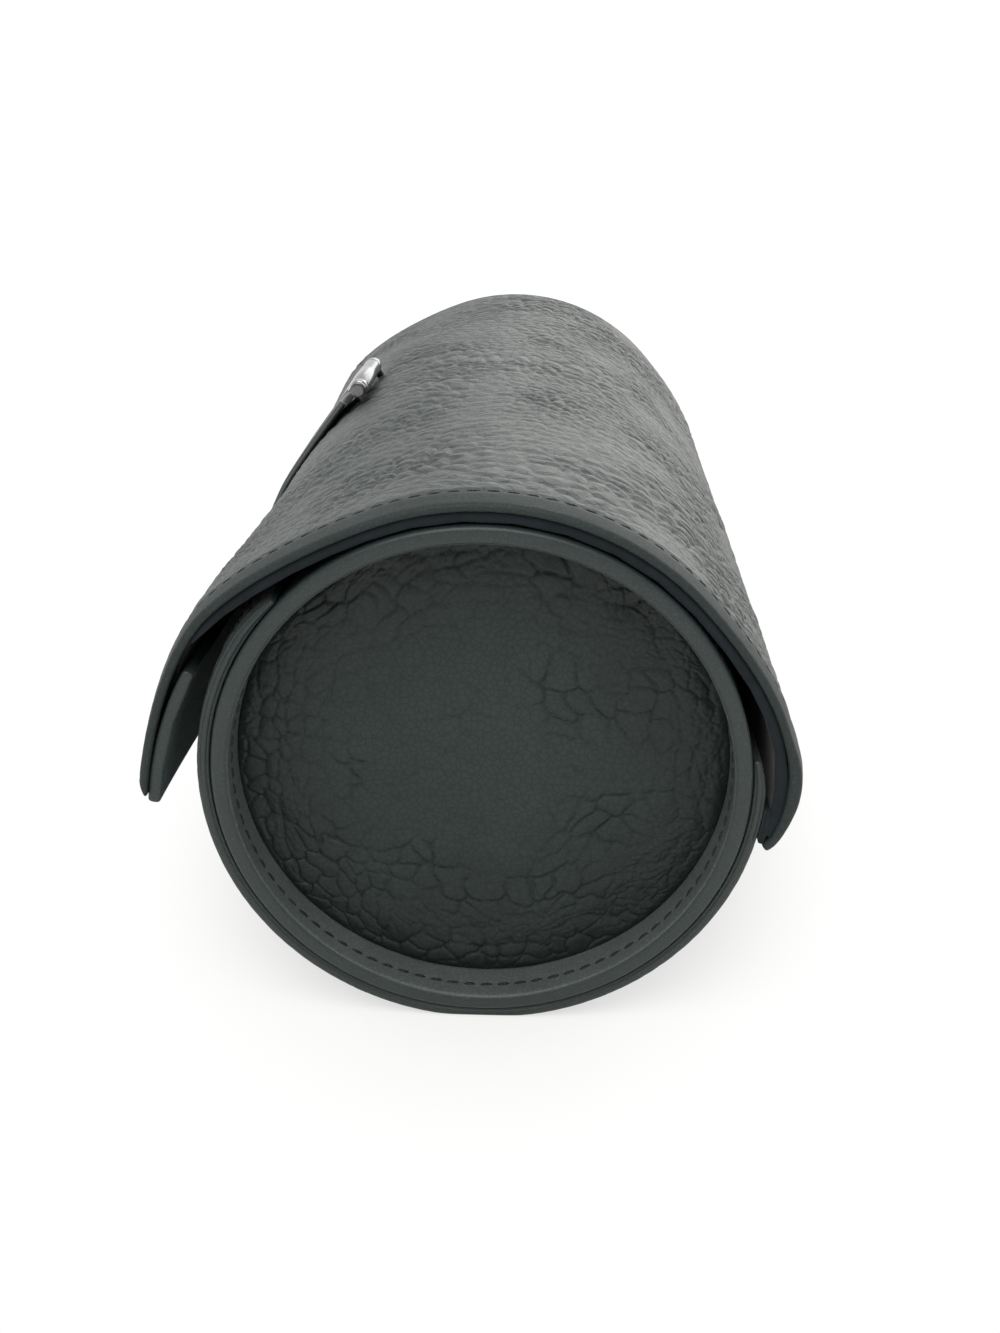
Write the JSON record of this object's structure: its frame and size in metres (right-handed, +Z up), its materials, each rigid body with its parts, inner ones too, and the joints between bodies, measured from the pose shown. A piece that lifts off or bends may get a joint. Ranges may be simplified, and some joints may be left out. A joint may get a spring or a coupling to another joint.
{
  "type": "watch roll",
  "caption": "Round leather watch roll lying closed: a trough with recessed end discs, a wrap-over lid on a leather hinge, a closing strap on a metal pin, dividers and cushions.",
  "frame": {"origin": "middle of the narrow flat underneath, on which the roll stands", "axes": "+Z up; Y along the roll with the front end at -Y; the lid's hinge is at +X and its free edge and strap at -X"},
  "size_m": [0.1054, 0.2, 0.0919],
  "materials": {
    "leather": "pebbled grain, satin",
    "edge_paint": "smooth painted edge, satin",
    "suede": "short nap, matt",
    "board": "pressed fibre board, matt",
    "steel": "polished",
    "foam": "open cell, matt"
  },
  "bodies": {
    "case": {"case_wrap": "leather", "case_board": "board", "case_lining": "suede", "front_rim": "edge_paint", "rear_rim": "edge_paint", "front_disc": "leather", "rear_disc": "leather", "front_disc_board": "board", "rear_disc_board": "board", "front_disc_lining": "suede", "rear_disc_lining": "suede", "divider_front": "suede", "divider_rear": "suede", "hinge_welt": "leather", "magnet_pad": "leather", "case_magnet": "steel"},
    "lid": {"lid_leather": "leather", "lid_bead": "leather", "lid_board": "board", "lid_lining": "suede", "lid_facing": "edge_paint", "strap_saddle": "steel", "strap_pin": "steel"},
    "strap": {"strap_barrel": "steel", "strap_leather": "leather", "strap_lining": "suede", "strap_keeper": "steel", "keeper_rivet": "steel"},
    "cushion_1": {"cushion_cover_1": "suede", "cushion_ends_1": "suede", "cushion_core_1": "foam"},
    "cushion_2": {"cushion_cover_2": "suede", "cushion_ends_2": "suede", "cushion_core_2": "foam"},
    "cushion_3": {"cushion_cover_3": "suede", "cushion_ends_3": "suede", "cushion_core_3": "foam"}
  },
  "joints": [
    {"name": "lid_hinge", "type": "hinge", "parent": "case", "child": "lid", "pos_m": [0.0458, 0, 0.03413], "axis": [0, 1, 0], "range_deg": [0, 130]},
    {"name": "strap_hinge", "type": "hinge", "parent": "lid", "child": "strap", "pos_m": [-0.02903, 0, 0.08867], "axis": [0, 1, 0], "range_deg": [0, 140]},
    {"name": "cushion_lift_1", "type": "slide", "parent": "case", "child": "cushion_1", "axis": [0, 0, 1], "range_m": [0, 0.01]},
    {"name": "cushion_lift_2", "type": "slide", "parent": "case", "child": "cushion_2", "axis": [0, 0, 1], "range_m": [0, 0.01]},
    {"name": "cushion_lift_3", "type": "slide", "parent": "case", "child": "cushion_3", "axis": [0, 0, 1], "range_m": [0, 0.01]}
  ]
}
